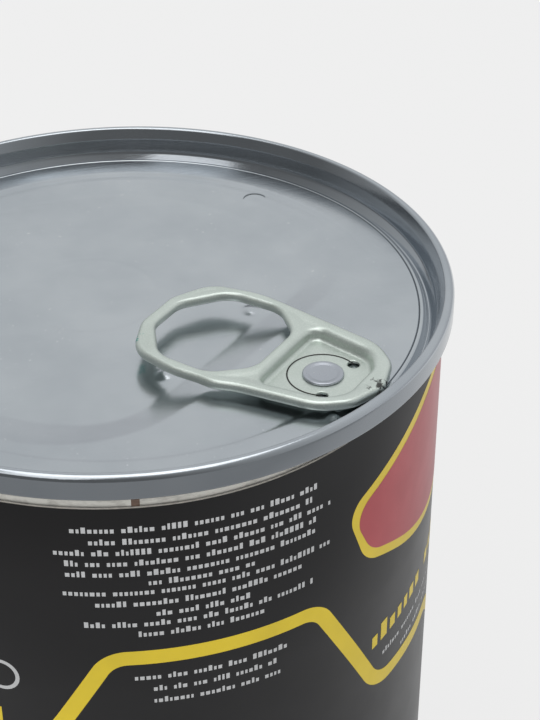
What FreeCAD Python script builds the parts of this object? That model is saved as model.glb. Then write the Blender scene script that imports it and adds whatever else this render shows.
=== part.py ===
"""Closed food can with an easy-open end, a pull tab and a paper label.

The can stands on its bottom seam.  The origin is the middle of the surface it stands on, +Z is up and
+X points from the can's axis to the rivet of the pull tab.  All sizes are in millimetres and come from
the sheet "Sizes"; every sketch dimension and feature length is bound to a cell of that sheet.
"""
import FreeCAD, Part
import math
import os

import Sketcher

DOCUMENT_NAME = "FoodCan"
SHEET_NAME = "Sizes"
PARTS_FOLDER = "parts"
TOLERANCE = 0.005

SIZES = [
    # alias, value, meaning
    ("can_height", 110.0, "crest of the bottom seam to crest of the top seam"),
    ("wall_radius", 36.75, "outside of the welded body wall"),
    ("wall_sheet", 0.2, "thickness of the body wall where it rises past an end"),
    ("weld_width", 0.95, "width of the side weld"),
    ("weld_height", 0.05, "how far the weld stands out of the wall"),
    ("weld_azimuth", -49.6, "place of the side weld, degrees from +X"),
    ("fit_gap", 0.03, "radial clearance between an end's plug and the wall"),
    ("seam_overhang", 1.35, "how far a double seam stands out of the wall"),
    ("seam_height", 2.85, "height of a double seam"),
    ("seam_width", 0.85, "width of the seam's crest"),
    ("crest_round", 0.4, "rounding of the seam's crest"),
    ("seam_foot_round", 0.35, "rounding of the seam's lower outer edge"),
    ("plug_depth", 6.4, "crest down to the flat inner face of an end"),
    ("chuck_inset", 1.6, "outside of the seam in to the top of the chuck wall"),
    ("chuck_top_depth", 1.35, "crest down to the top of the chuck wall"),
    ("chuck_round", 1.5, "rounding between the seam's curve and the chuck wall"),
    ("chuck_lean", 0.48, "how far the chuck wall leans in down to its foot"),
    ("sink_depth", 4.45, "crest down to the bottom of the countersink"),
    ("sink_width", 0.72, "width of the countersink's floor"),
    ("sink_round", 0.34, "rounding at both sides of the countersink"),
    ("panel_wall_lean", 0.45, "countersink's floor in to the outer edge of the panel"),
    ("shoulder_round", 0.35, "rounding of the panel's outer edge"),
    ("ledge_depth", 3.4, "crest down to the ledge that carries the score"),
    ("ledge_width", 3.75, "panel's outer edge in to the step"),
    ("score_inset", 0.55, "panel's outer edge in to the score line"),
    ("score_width", 0.22, "width of the score line"),
    ("score_depth", 0.14, "depth of the score line"),
    ("step_run", 0.8, "radial length of the step inside the ledge"),
    ("land_drop", 0.12, "drop from the ledge to the land"),
    ("recess_margin", 1.3, "land left between the step and the finger recess"),
    ("recess_drop", 0.95, "depth of the finger recess below the land"),
    ("recess_shift", 2.6, "can's axis back to the middle of the recess's floor"),
    ("recess_slope", 1.8, "radial length of the recess's slope at the back"),
    ("recess_setback", 8.85, "rivet back to the top of the slope at the straight side"),
    ("chord_slope", 4.2, "length of the slope at the straight side"),
    ("brim_corner", 16.5, "radius between arc and straight side at the slope's top"),
    ("floor_corner", 9.5, "radius between arc and straight side at the slope's foot"),
    ("recess_round", 1.6, "rounding of the recess's upper edge"),
    ("recess_floor_round", 1.2, "rounding of the recess's lower edge"),
    ("disc_shift", 4.3, "can's axis back to the middle of the faint disc"),
    ("disc_radius", 7.8, "radius of the faint disc in the recess"),
    ("disc_drop", 0.07, "depth of the faint disc"),
    ("pip_back", 15.2, "rivet back to the guide pips in the recess"),
    ("pip_inset", 1.05, "side of the finger ring in to those pips"),
    ("pip_radius", 1.15, "radius of the guide pips"),
    ("pip_height", 0.45, "height of the guide pips"),
    ("nose_pip_front", 4.55, "rivet forward to the pips beside the nose"),
    ("nose_pip_side", 5.1, "rivet sideways to the pips beside the nose"),
    ("nose_pip_radius", 0.8, "radius of the pips beside the nose"),
    ("nose_pip_height", 0.25, "height of the pips beside the nose"),
    ("dimple_inset", 1.88, "edge of the land in to the lone dimple"),
    ("dimple_azimuth", 92.4, "place of the lone dimple, degrees from +X"),
    ("dimple_radius", 1.3, "radius of the lone dimple"),
    ("dimple_depth", 0.3, "depth of the lone dimple"),
    ("rivet_radius", 1.7, "radius of the rivet's shank"),
    ("head_overlap", 0.57, "how far the rivet's head reaches past its shank"),
    ("head_height", 0.3, "height of the rivet's head"),
    ("head_dish", 0.1, "depth of the dish in the rivet's head"),
    ("head_lip", 0.45, "width of the lip round that dish"),
    ("rivet_gap", 0.1, "clearance round the rivet's shank"),
    ("nose_reach", 0.32, "how far the nose reaches past the panel's outer edge"),
    ("tab_swing", 3.5, "how far the tab is turned about the rivet, degrees"),
    ("tab_tail", 21.55, "rivet to the end of the finger ring"),
    ("tab_nose", 7.3, "rivet to the tip of the nose"),
    ("tab_half_width", 9.0, "half the width of the finger ring"),
    ("tab_nose_half", 6.75, "half the width beside the rivet"),
    ("ring_end_cut", 6.1, "side of the ring in to the corner at its end"),
    ("ring_end_round", 3.5, "rounding of that corner"),
    ("ring_bow_run", 2.3, "end of the ring forward to its second corner"),
    ("ring_bow_inset", 1.25, "side of the ring in to its second corner"),
    ("ring_bow_round", 4.0, "rounding of the second corner"),
    ("ring_wide_run", 8.45, "end of the ring forward to its widest place"),
    ("ring_wide_round", 12.0, "rounding of the widest place"),
    ("nose_side_run", 3.1, "rivet forward to the corner beside it"),
    ("nose_side_round", 6.0, "rounding of the corner beside the rivet"),
    ("nose_corner_run", 1.3, "tip of the nose back to its corner"),
    ("nose_corner_inset", 2.45, "side beside the rivet in to the nose's corner"),
    ("nose_corner_round", 3.5, "rounding of the nose's corner"),
    ("nose_tip_half", 0.5, "half the width of the nose's blunt tip"),
    ("nose_tip_round", 1.2, "rounding of the nose's tip"),
    ("bar_width", 1.25, "width of the rolled rim"),
    ("rim_height", 1.2, "height of the rolled rim"),
    ("rim_lift", 0.55, "rolled rim above the tab's seat"),
    ("rim_round", 0.52, "rounding of the rolled rim"),
    ("opening_front", 6.0, "rivet back to the crossbar side of the finger opening"),
    ("opening_end_cut", 5.2, "inside of the bar in to the corner at the ring's end"),
    ("opening_end_round", 2.5, "rounding of that corner"),
    ("opening_bow_run", 5.06, "end of the ring forward to the opening's second corner"),
    ("opening_bow_inset", 0.32, "inside of the bar in to the second corner"),
    ("opening_side_round", 3.2, "rounding of the opening's two side corners"),
    ("opening_neck_run", 3.9, "crossbar back to the opening's third corner"),
    ("opening_neck_inset", 0.1, "inside of the bar in to the third corner"),
    ("opening_front_cut", 3.6, "inside of the bar in to the corner at the crossbar"),
    ("opening_front_round", 2.6, "rounding of that corner"),
    ("web_sheet", 0.4, "thickness of the web under the rivet head"),
    ("web_wall", 0.42, "thickness of the well's walls"),
    ("well_back", 4.5, "rivet to the back of the well's floor"),
    ("well_front", 4.45, "rivet to the front of the well's floor"),
    ("well_half_width", 5.85, "half the width of the well's floor"),
    ("well_side_inset", 1.15, "how much narrower the well is at its front corners"),
    ("well_nose_run", 1.5, "length of the well's slanted front corners"),
    ("well_nose_half", 2.6, "half the width of the well's front"),
    ("well_slope", 0.4, "run of the well's sloping walls"),
    ("well_corner", 1.1, "corner radius at the back of the well"),
    ("well_front_round", 2.4, "corner radius at the front of the well"),
    ("well_brim_round", 0.33, "rounding of the well's upper edge"),
    ("well_floor_round", 0.25, "rounding between the well's walls and floor"),
    ("slit_radius", 3.9, "radius of the slit round the rivet"),
    ("slit_width", 0.16, "width of the slit"),
    ("slit_half_angle", 62.0, "half the angle left uncut at the nose, degrees"),
    ("vent_radius", 0.66, "radius of the holes at the slit's ends"),
    ("bead_inset", 6.35, "panel's outer edge in to the middle of the outer bead"),
    ("bead_spacing", 6.5, "distance between the bottom end's beads"),
    ("bead_width", 3.2, "width of a bead at its foot"),
    ("bead_top_width", 1.6, "width of a bead at its top"),
    ("bead_height", 0.7, "height of a bead"),
    ("bottom_panel_depth", 3.6, "crest of the bottom seam up to its panel"),
    ("label_gap", 0.1, "space between wall and label"),
    ("label_sheet", 0.25, "thickness of the label"),
    ("label_top_gap", 1.6, "lower edge of the top seam down to the label"),
    ("label_bottom_gap", 1.85, "upper edge of the bottom seam up to the label"),
]
DOME_ROUND_SHARE = 0.9
HEAD_ROUND_SHARE = 0.6
WELL_SPREAD_ALONG = 0.3
WELL_SPREAD_ACROSS = 0.4
UPRIGHT_LEAST = 0.2


class Dim:
    """A length that keeps its value and the sheet expression that gives it."""

    def __init__(self, value, text):
        self.value = value
        self.text = text

    @staticmethod
    def of(item):
        return item if isinstance(item, Dim) else Dim(float(item), repr(float(item)))

    def joined(self, other, sign, value):
        return Dim(value, "(%s %s %s)" % (self.text, sign, Dim.of(other).text))

    def __add__(self, other):
        return self.joined(other, "+", self.value + Dim.of(other).value)

    def __sub__(self, other):
        return self.joined(other, "-", self.value - Dim.of(other).value)

    def __mul__(self, other):
        return self.joined(other, "*", self.value * Dim.of(other).value)

    def __neg__(self):
        return Dim(-self.value, "(0 - %s)" % self.text)


class Sheet:
    """The driving dimensions, readable as attributes."""

    def __init__(self, doc):
        self.dims = {}
        cells = doc.addObject("Spreadsheet::Sheet", SHEET_NAME)
        for row, (alias, value, meaning) in enumerate(SIZES, start=1):
            cells.set("A%d" % row, str(value))
            cells.setAlias("A%d" % row, alias)
            cells.set("B%d" % row, "'" + meaning)
            self.dims[alias] = Dim(value, "%s.%s" % (SHEET_NAME, alias))
        doc.recompute()

    def __getattr__(self, alias):
        return self.dims[alias]


class Radii:
    """Radii and places along X that follow from one another, from the wall inwards."""

    def __init__(self, size):
        self.plug = size.wall_radius - size.wall_sheet - size.fit_gap
        self.seam = size.wall_radius + size.seam_overhang
        self.crest_inner = self.seam - size.seam_width
        self.chuck_top = self.seam - size.chuck_inset
        self.chuck_foot = self.chuck_top - size.chuck_lean
        self.sink_inner = self.chuck_foot - size.sink_width
        self.shoulder = self.sink_inner - size.panel_wall_lean
        self.score = self.shoulder - size.score_inset
        self.step = self.shoulder - size.ledge_width
        self.land = self.step - size.step_run
        self.recess_brim = self.land - size.recess_margin
        self.recess_floor = self.recess_brim - size.recess_slope - size.recess_shift
        self.rivet_x = self.shoulder + size.nose_reach - size.tab_nose
        self.chord_brim_x = self.rivet_x - size.recess_setback
        self.chord_floor_x = self.chord_brim_x - size.chord_slope


def new_body(doc, label):
    body = doc.addObject("PartDesign::Body", label)
    body.Label = label
    return body


def new_sketch(body, name, plane, height=None, turn=None):
    """A sketch on one of the body's own origin planes, lifted and turned if asked."""
    sketch = body.newObject("Sketcher::SketchObject", name)
    origin_plane = [item for item in body.Origin.OriginFeatures if item.Role == plane][0]
    sketch.AttachmentSupport = [(origin_plane, "")]
    sketch.MapMode = "FlatFace"
    if height is not None:
        sketch.setExpression("AttachmentOffset.Base.z", height.text)
    if turn is not None:
        sketch.AttachmentOffset = FreeCAD.Placement(
            FreeCAD.Vector(0, 0, 0), FreeCAD.Rotation(FreeCAD.Vector(0, 0, 1), turn.value))
        sketch.setExpression("AttachmentOffset.Rotation.Angle", turn.text)
    return sketch


def pin(sketch, kind, geometry, point, dim):
    """Hold one coordinate of a point with a named size."""
    if dim.value == 0.0:
        axis = -2 if kind == "DistanceX" else -1
        sketch.addConstraint(Sketcher.Constraint("PointOnObject", geometry, point, axis))
        return
    if dim.value > 0.0:
        ends = (-1, 1, geometry, point)
    else:
        ends = (geometry, point, -1, 1)
        dim = -dim
    index = sketch.addConstraint(Sketcher.Constraint(kind, *ends, dim.value))
    sketch.setExpression("Constraints[%d]" % index, dim.text)


def draw_polygon(sketch, corners):
    """A closed outline of straight lines through the given corners."""
    corners = [(Dim.of(across), Dim.of(along)) for across, along in corners]
    points = [FreeCAD.Vector(across.value, along.value, 0) for across, along in corners]
    count = len(points)
    lines = [Part.LineSegment(points[i], points[(i + 1) % count]) for i in range(count)]
    first = sketch.addGeometry(lines, False)[0]
    for i in range(count):
        after = first + (i + 1) % count
        sketch.addConstraint(Sketcher.Constraint("Coincident", first + i, 2, after, 1))
    for i, (across, along) in enumerate(corners):
        pin(sketch, "DistanceX", first + i, 1, across)
        pin(sketch, "DistanceY", first + i, 1, along)


def hold_radius(sketch, arc, dim):
    index = sketch.addConstraint(Sketcher.Constraint("Radius", arc, dim.value))
    sketch.setExpression("Constraints[%d]" % index, dim.text)


def draw_circle(sketch, across, along, radius):
    across = Dim.of(across)
    along = Dim.of(along)
    centre = FreeCAD.Vector(across.value, along.value, 0)
    index = sketch.addGeometry(Part.Circle(centre, FreeCAD.Vector(0, 0, 1), radius.value), False)
    pin(sketch, "DistanceX", index, 3, across)
    pin(sketch, "DistanceY", index, 3, along)
    hold_radius(sketch, index, radius)


def draw_cut_circle(sketch, centre_x, radius, chord_x, corner):
    """A circle cut off by a straight side across X, with both corners rounded."""
    up = FreeCAD.Vector(0, 0, 1)
    corner_x = chord_x.value - corner.value
    corner_y = math.sqrt((radius.value - corner.value) ** 2 - (corner_x - centre_x.value) ** 2)
    turn = math.atan2(corner_y, corner_x - centre_x.value)
    main_circle = Part.Circle(FreeCAD.Vector(centre_x.value, 0, 0), up, radius.value)
    left_circle = Part.Circle(FreeCAD.Vector(corner_x, corner_y, 0), up, corner.value)
    right_circle = Part.Circle(FreeCAD.Vector(corner_x, -corner_y, 0), up, corner.value)
    chord = Part.LineSegment(FreeCAD.Vector(chord_x.value, -corner_y, 0),
                             FreeCAD.Vector(chord_x.value, corner_y, 0))
    main, right, side, left = sketch.addGeometry([
        Part.ArcOfCircle(main_circle, turn, 2 * math.pi - turn),
        Part.ArcOfCircle(right_circle, 2 * math.pi - turn, 2 * math.pi),
        chord,
        Part.ArcOfCircle(left_circle, 0, turn),
    ], False)
    ring = ((main, 2, right, 1), (right, 2, side, 1), (side, 2, left, 1), (left, 2, main, 1))
    for joint in ring:
        sketch.addConstraint(Sketcher.Constraint("Tangent", *joint))
    sketch.addConstraint(Sketcher.Constraint("Vertical", side))
    pin(sketch, "DistanceX", main, 3, centre_x)
    pin(sketch, "DistanceY", main, 3, Dim.of(0.0))
    pin(sketch, "DistanceX", side, 1, chord_x)
    hold_radius(sketch, main, radius)
    hold_radius(sketch, right, corner)
    hold_radius(sketch, left, corner)


def draw_arc_slot(sketch, radius, width, half_angle):
    """A narrow slot round the origin, left uncut for half_angle on each side of +X."""
    start = math.radians(half_angle.value)
    sides = []
    for size in (radius - width * 0.5, radius + width * 0.5):
        circle = Part.Circle(FreeCAD.Vector(0, 0, 0), FreeCAD.Vector(0, 0, 1), size.value)
        arc = sketch.addGeometry(Part.ArcOfCircle(circle, start, 2 * math.pi - start), False)
        sketch.addConstraint(Sketcher.Constraint("Coincident", arc, 3, -1, 1))
        hold_radius(sketch, arc, size)
        sides.append(arc)
    for end, direction in ((1, start), (2, -start)):
        heading = FreeCAD.Vector(math.cos(direction), math.sin(direction), 0)
        inner = heading * (radius - width * 0.5).value
        outer = heading * (radius + width * 0.5).value
        line = sketch.addGeometry(Part.LineSegment(inner, outer), False)
        sketch.addConstraint(Sketcher.Constraint("Coincident", line, 1, sides[0], end))
        sketch.addConstraint(Sketcher.Constraint("Coincident", line, 2, sides[1], end))
        sketch.addConstraint(Sketcher.Constraint("PointOnObject", -1, 1, line))
        index = sketch.addConstraint(Sketcher.Constraint("Angle", line, direction))
        sign = "1" if direction > 0 else "-1"
        sketch.setExpression("Constraints[%d]" % index, "%s * %s * 1 deg" % (sign, half_angle.text))


def revolve(body, sketch, name, kind="Revolution"):
    feature = body.newObject("PartDesign::" + kind, name)
    feature.Profile = sketch
    feature.ReferenceAxis = (sketch, ["V_Axis"])
    feature.Angle = 360.0
    body.Document.recompute()
    return feature


def extrude(body, sketch, name, length, kind="Pad", reverse=False):
    feature = body.newObject("PartDesign::" + kind, name)
    feature.Profile = sketch
    feature.setExpression("Length", length.text)
    feature.Reversed = reverse
    body.Document.recompute()
    return feature


def loft(body, sketches, name, kind="SubtractiveLoft"):
    feature = body.newObject("PartDesign::" + kind, name)
    feature.Profile = sketches[0]
    feature.Sections = sketches[1:]
    feature.Ruled = True
    body.Document.recompute()
    return feature


def round_edges(body, name, radius, wanted):
    """Fillet every edge of the body's tip for which wanted(edge) is true."""
    base = body.Tip
    chosen = ["Edge%d" % (i + 1) for i, edge in enumerate(base.Shape.Edges) if wanted(edge)]
    if not chosen:
        raise RuntimeError("no edge to round for " + name)
    feature = body.newObject("PartDesign::Fillet", name)
    feature.Base = (base, chosen)
    feature.setExpression("Radius", radius.text)
    body.Document.recompute()
    return feature


def at_ring(radius, height):
    """Chooses the circular edge of that radius at that height."""
    def wanted(edge):
        curve = edge.Curve
        if not isinstance(curve, Part.Circle):
            return False
        same_radius = abs(curve.Radius - radius.value) < TOLERANCE
        return same_radius and abs(curve.Center.z - height.value) < TOLERANCE
    return wanted


def flat_at(edge, level):
    """True for an edge that lies flat at a level."""
    box = edge.BoundBox
    return box.ZMax - box.ZMin < TOLERANCE and abs(box.ZMax - level.value) < TOLERANCE


def end_profile(size, radii, panel):
    """Half section of an end: plug, double seam, chuck wall, countersink and the given panel."""
    return [
        (0, -size.plug_depth),
        (radii.plug, -size.plug_depth),
        (radii.plug, -size.seam_height),
        (radii.seam, -size.seam_height),
        (radii.seam, 0),
        (radii.crest_inner, 0),
        (radii.chuck_top, -size.chuck_top_depth),
        (radii.chuck_foot, -size.sink_depth),
        (radii.sink_inner, -size.sink_depth),
    ] + panel


def round_seam(body, size, radii):
    """Round the bends of an end's seam and countersink, the chuck wall's bend first."""
    bend = at_ring(radii.chuck_top, -size.chuck_top_depth)
    round_edges(body, "ChuckBend", size.chuck_round, bend)
    round_edges(body, "SeamCrestOuter", size.crest_round, at_ring(radii.seam, Dim.of(0)))
    round_edges(body, "SeamCrestInner", size.crest_round, at_ring(radii.crest_inner, Dim.of(0)))
    round_edges(body, "SeamFoot", size.seam_foot_round, at_ring(radii.seam, -size.seam_height))
    foot = at_ring(radii.chuck_foot, -size.sink_depth)
    wall = at_ring(radii.sink_inner, -size.sink_depth)
    round_edges(body, "CountersinkRounds", size.sink_round, lambda edge: foot(edge) or wall(edge))


def add_dome(body, name, place, level, radius, height):
    """A round pip with a soft top standing on the panel."""
    across = Dim.of(place[0])
    along = Dim.of(place[1])
    top = level + height
    sketch = new_sketch(body, name + "Outline", "XY_Plane", level)
    draw_circle(sketch, across, along, radius)
    extrude(body, sketch, name, height)

    def wanted(edge):
        centre = edge.Curve.Center if isinstance(edge.Curve, Part.Circle) else None
        if centre is None or abs(centre.z - top.value) > TOLERANCE:
            return False
        return math.hypot(centre.x - across.value, centre.y - along.value) < TOLERANCE
    round_edges(body, name + "Round", height * DOME_ROUND_SHARE, wanted)


def sink_circle(body, name, place, level, radius, depth, turn=None):
    """A shallow round pocket in the panel."""
    sketch = new_sketch(body, name + "Outline", "XY_Plane", level, turn)
    draw_circle(sketch, place[0], place[1], radius)
    extrude(body, sketch, name, depth, "Pocket")


def add_score(body, size, radii, ledge):
    """The V groove round the panel along which the end tears open."""
    score = new_sketch(body, "ScoreSection", "XZ_Plane")
    draw_polygon(score, [
        (radii.score - size.score_width * 0.5, ledge),
        (radii.score, ledge - size.score_depth),
        (radii.score + size.score_width * 0.5, ledge),
    ])
    revolve(body, score, "Score", "Groove")


def add_recess(body, size, radii, land, floor):
    """The finger recess: a sloping pocket, round but for its straight side next to the rivet."""
    brim = new_sketch(body, "RecessBrim", "XY_Plane", land)
    draw_cut_circle(brim, Dim.of(0), radii.recess_brim, radii.chord_brim_x, size.brim_corner)
    base = new_sketch(body, "RecessFloor", "XY_Plane", floor)
    draw_cut_circle(base, -size.recess_shift, radii.recess_floor, radii.chord_floor_x,
                    size.floor_corner)
    loft(body, [brim, base], "FingerRecess")
    land_edge = at_ring(radii.land, land)

    def curved_brim(edge):
        before_chord = edge.BoundBox.XMin < radii.chord_floor_x.value
        return before_chord and flat_at(edge, land) and not land_edge(edge)
    round_edges(body, "RecessBrimRound", size.recess_round, curved_brim)
    round_edges(body, "RecessFloorRound", size.recess_floor_round, lambda edge: flat_at(edge, floor))
    sink_circle(body, "FaintDisc", (-size.disc_shift, 0), floor, size.disc_radius,
                size.disc_drop)


def add_rivet(body, size, radii, land, seat):
    """The rivet drawn from the panel: shank through the tab's web, head pressed on top of it."""
    shank = new_sketch(body, "RivetShankOutline", "XY_Plane", land)
    draw_circle(shank, radii.rivet_x, 0, size.rivet_radius)
    extrude(body, shank, "RivetShank", size.land_drop + size.web_sheet)
    head_radius = size.rivet_radius + size.head_overlap
    head = new_sketch(body, "RivetHeadOutline", "XY_Plane", seat + size.web_sheet)
    draw_circle(head, radii.rivet_x, 0, head_radius)
    extrude(body, head, "RivetHead", size.head_height)
    top = seat + size.web_sheet + size.head_height
    round_edges(body, "RivetHeadRound", size.head_height * HEAD_ROUND_SHARE,
                at_ring(head_radius, top))
    sink_circle(body, "RivetDish", (radii.rivet_x, 0), top, head_radius - size.head_lip,
                size.head_dish)


def make_easy_open_end(doc, size, radii):
    """Top end with its seam, score, finger recess, pips and rivet."""
    body = new_body(doc, "easy_open_end")
    ledge = -size.ledge_depth
    land = ledge - size.land_drop
    floor = land - size.recess_drop
    section = new_sketch(body, "EndSection", "XZ_Plane")
    draw_polygon(section, end_profile(size, radii, [
        (radii.shoulder, ledge),
        (radii.step, ledge),
        (radii.land, land),
        (0, land),
    ]))
    revolve(body, section, "EndBlank")
    round_seam(body, size, radii)
    round_edges(body, "PanelShoulder", size.shoulder_round, at_ring(radii.shoulder, ledge))
    add_score(body, size, radii, ledge)
    add_recess(body, size, radii, land, floor)
    pip_side = size.tab_half_width - size.pip_inset
    for side, sign in (("Left", 1.0), ("Right", -1.0)):
        add_dome(body, "RecessPip" + side, (radii.rivet_x - size.pip_back, pip_side * sign),
                 floor, size.pip_radius, size.pip_height)
        nose_place = (radii.rivet_x + size.nose_pip_front, size.nose_pip_side * sign)
        add_dome(body, "NosePip" + side, nose_place, ledge, size.nose_pip_radius,
                 size.nose_pip_height)
    sink_circle(body, "LoneDimple", (radii.land - size.dimple_inset, 0), land,
                size.dimple_radius, size.dimple_depth, size.dimple_azimuth)
    add_rivet(body, size, radii, land, ledge)
    body.setExpression("Placement.Base.z", size.can_height.text)
    return body


def make_bottom_end(doc, size, radii):
    """Bottom end with the same seam and two stiffening beads, turned to face down."""
    body = new_body(doc, "bottom_end")
    level = -size.bottom_panel_depth
    foot = size.bead_width * 0.5
    top = size.bead_top_width * 0.5
    outer_bead = radii.shoulder - size.bead_inset
    panel = [(radii.shoulder, level)]
    for middle in (outer_bead, outer_bead - size.bead_spacing):
        panel += [
            (middle + foot, level),
            (middle + top, level + size.bead_height),
            (middle - top, level + size.bead_height),
            (middle - foot, level),
        ]
    panel.append((0, level))
    section = new_sketch(body, "EndSection", "XZ_Plane")
    draw_polygon(section, end_profile(size, radii, panel))
    revolve(body, section, "EndBlank")
    round_seam(body, size, radii)
    body.Placement = FreeCAD.Placement(
        FreeCAD.Vector(0, 0, 0), FreeCAD.Rotation(FreeCAD.Vector(1, 0, 0), 180))
    return body


def make_can_body(doc, size):
    """Welded wall with the closed, filled inside as one solid."""
    body = new_body(doc, "can_body")
    inner = size.wall_radius - size.wall_sheet
    wall_top = size.can_height - size.seam_height
    fill_top = size.can_height - size.plug_depth
    section = new_sketch(body, "WallSection", "XZ_Plane")
    draw_polygon(section, [
        (0, size.plug_depth),
        (inner, size.plug_depth),
        (inner, size.seam_height),
        (size.wall_radius, size.seam_height),
        (size.wall_radius, wall_top),
        (inner, wall_top),
        (inner, fill_top),
        (0, fill_top),
    ])
    revolve(body, section, "FilledWall")
    weld = new_sketch(body, "WeldOutline", "XY_Plane", size.seam_height, size.weld_azimuth)
    half = size.weld_width * 0.5
    draw_polygon(weld, [
        (size.wall_radius - size.wall_sheet * 0.5, -half),
        (size.wall_radius + size.weld_height, -half),
        (size.wall_radius + size.weld_height, half),
        (size.wall_radius - size.wall_sheet * 0.5, half),
    ])
    extrude(body, weld, "SideWeld", size.can_height - size.seam_height * 2)
    return body


def make_paper_label(doc, size):
    """Paper label wrapped round the wall between the two seams."""
    body = new_body(doc, "paper_label")
    inside = size.wall_radius + size.label_gap
    outside = inside + size.label_sheet
    section = new_sketch(body, "LabelSection", "XZ_Plane")
    lower = size.seam_height + size.label_bottom_gap
    upper = size.can_height - size.seam_height - size.label_top_gap
    draw_polygon(section, [(inside, lower), (outside, lower), (outside, upper), (inside, upper)])
    revolve(body, section, "LabelTube")
    return body


def mirrored(half_outline):
    """A closed outline from the corners on its +Y side, listed from back to front."""
    return half_outline + [(across, -along) for across, along in reversed(half_outline)]


def upright_near(across, along):
    """Chooses upright or leaning edges whose lower end lies at (across, along) or mirrored."""
    def wanted(edge):
        if len(edge.Vertexes) != 2:
            return False
        low, high = sorted((vertex.Point for vertex in edge.Vertexes), key=lambda point: point.z)
        if high.z - low.z < UPRIGHT_LEAST:
            return False
        return math.hypot(low.x - across.value, abs(low.y) - along.value) < TOLERANCE
    return wanted


def round_corners(body, name, corners, radii):
    """Round the outline's corners one pair after the other."""
    for index, ((across, along), radius) in enumerate(zip(corners, radii)):
        round_edges(body, "%s%d" % (name, index), radius, upright_near(across, along))


def tab_outline(size):
    """Corners and corner radii of the tab's outline on its +Y side, from tail to nose."""
    tail = -size.tab_tail
    corners = [
        (tail, size.tab_half_width - size.ring_end_cut),
        (tail + size.ring_bow_run, size.tab_half_width - size.ring_bow_inset),
        (tail + size.ring_wide_run, size.tab_half_width),
        (size.nose_side_run, size.tab_nose_half),
        (size.tab_nose - size.nose_corner_run, size.tab_nose_half - size.nose_corner_inset),
        (size.tab_nose, size.nose_tip_half),
    ]
    radii = [size.ring_end_round, size.ring_bow_round, size.ring_wide_round,
             size.nose_side_round, size.nose_corner_round, size.nose_tip_round]
    return corners, radii


def opening_outline(size):
    """Corners and corner radii of the finger opening on its +Y side, from tail to crossbar."""
    inside = size.tab_half_width - size.bar_width
    corners = [
        (size.bar_width - size.tab_tail, inside - size.opening_end_cut),
        (size.opening_bow_run - size.tab_tail, inside - size.opening_bow_inset),
        (-size.opening_front - size.opening_neck_run, inside - size.opening_neck_inset),
        (-size.opening_front, inside - size.opening_front_cut),
    ]
    radii = [size.opening_end_round, size.opening_side_round, size.opening_side_round,
             size.opening_front_round]
    return corners, radii


def well_outline(size, spread):
    """The well's outline on its +Y side, from back to front, grown outwards by spread."""
    return [
        (-size.well_back - spread, size.well_half_width + spread),
        (size.well_front - size.well_nose_run + spread * WELL_SPREAD_ALONG,
         size.well_half_width - size.well_side_inset + spread),
        (size.well_front + spread, size.well_nose_half + spread * WELL_SPREAD_ACROSS),
    ]


def add_well(body, size, rim_top):
    """The web that seats on the panel, with the sunk well round the rivet."""
    floor = well_outline(size, Dim.of(0))
    seat = well_outline(size, size.web_wall)
    web = new_sketch(body, "WebOutline", "XY_Plane")
    draw_polygon(web, mirrored(seat))
    extrude(body, web, "WebSeat", size.rim_lift + size.rim_height * 0.5)
    brim = new_sketch(body, "WellBrim", "XY_Plane", rim_top)
    draw_polygon(brim, mirrored(well_outline(size, size.well_slope)))
    well_floor = new_sketch(body, "WellFloor", "XY_Plane", size.web_sheet)
    draw_polygon(well_floor, mirrored(floor))
    loft(body, [brim, well_floor], "Well")
    rounds = [size.well_corner, size.well_front_round, size.well_front_round]
    round_corners(body, "WellCorner", floor, rounds)
    round_corners(body, "WebCorner", seat, [radius + size.web_wall for radius in rounds])
    round_edges(body, "WebSeatRound", size.web_wall * 0.5, lambda edge: flat_at(edge, Dim.of(0)))

    def on_brim(edge):
        middle = edge.valueAt((edge.FirstParameter + edge.LastParameter) / 2)
        in_front = middle.x > -(size.well_back + size.well_slope).value - TOLERANCE
        behind = middle.x < (size.well_front + size.well_slope).value + TOLERANCE
        inside = abs(middle.y) < (size.well_half_width + size.well_slope).value + TOLERANCE
        return in_front and behind and inside and flat_at(edge, rim_top)
    round_edges(body, "WellBrimRound", size.well_brim_round, on_brim)
    round_edges(body, "WellFloorRound", size.well_floor_round,
                lambda edge: flat_at(edge, size.web_sheet))


def cut_slit(body, size):
    """The slit that frees the rivet's tongue, the holes at its ends and the rivet's own hole."""
    slit = new_sketch(body, "SlitOutline", "XY_Plane", size.web_sheet)
    draw_arc_slot(slit, size.slit_radius, size.slit_width, size.slit_half_angle)
    extrude(body, slit, "RivetSlit", size.web_sheet, "Pocket")
    holes = new_sketch(body, "HoleOutlines", "XY_Plane", size.web_sheet)
    angle = math.radians(size.slit_half_angle.value)
    for sign in (1.0, -1.0):
        draw_circle(holes, size.slit_radius * math.cos(angle),
                    size.slit_radius * (sign * math.sin(angle)), size.vent_radius)
    draw_circle(holes, 0, 0, size.rivet_radius + size.rivet_gap)
    extrude(body, holes, "RivetHoleAndVents", size.web_sheet, "Pocket")


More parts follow.
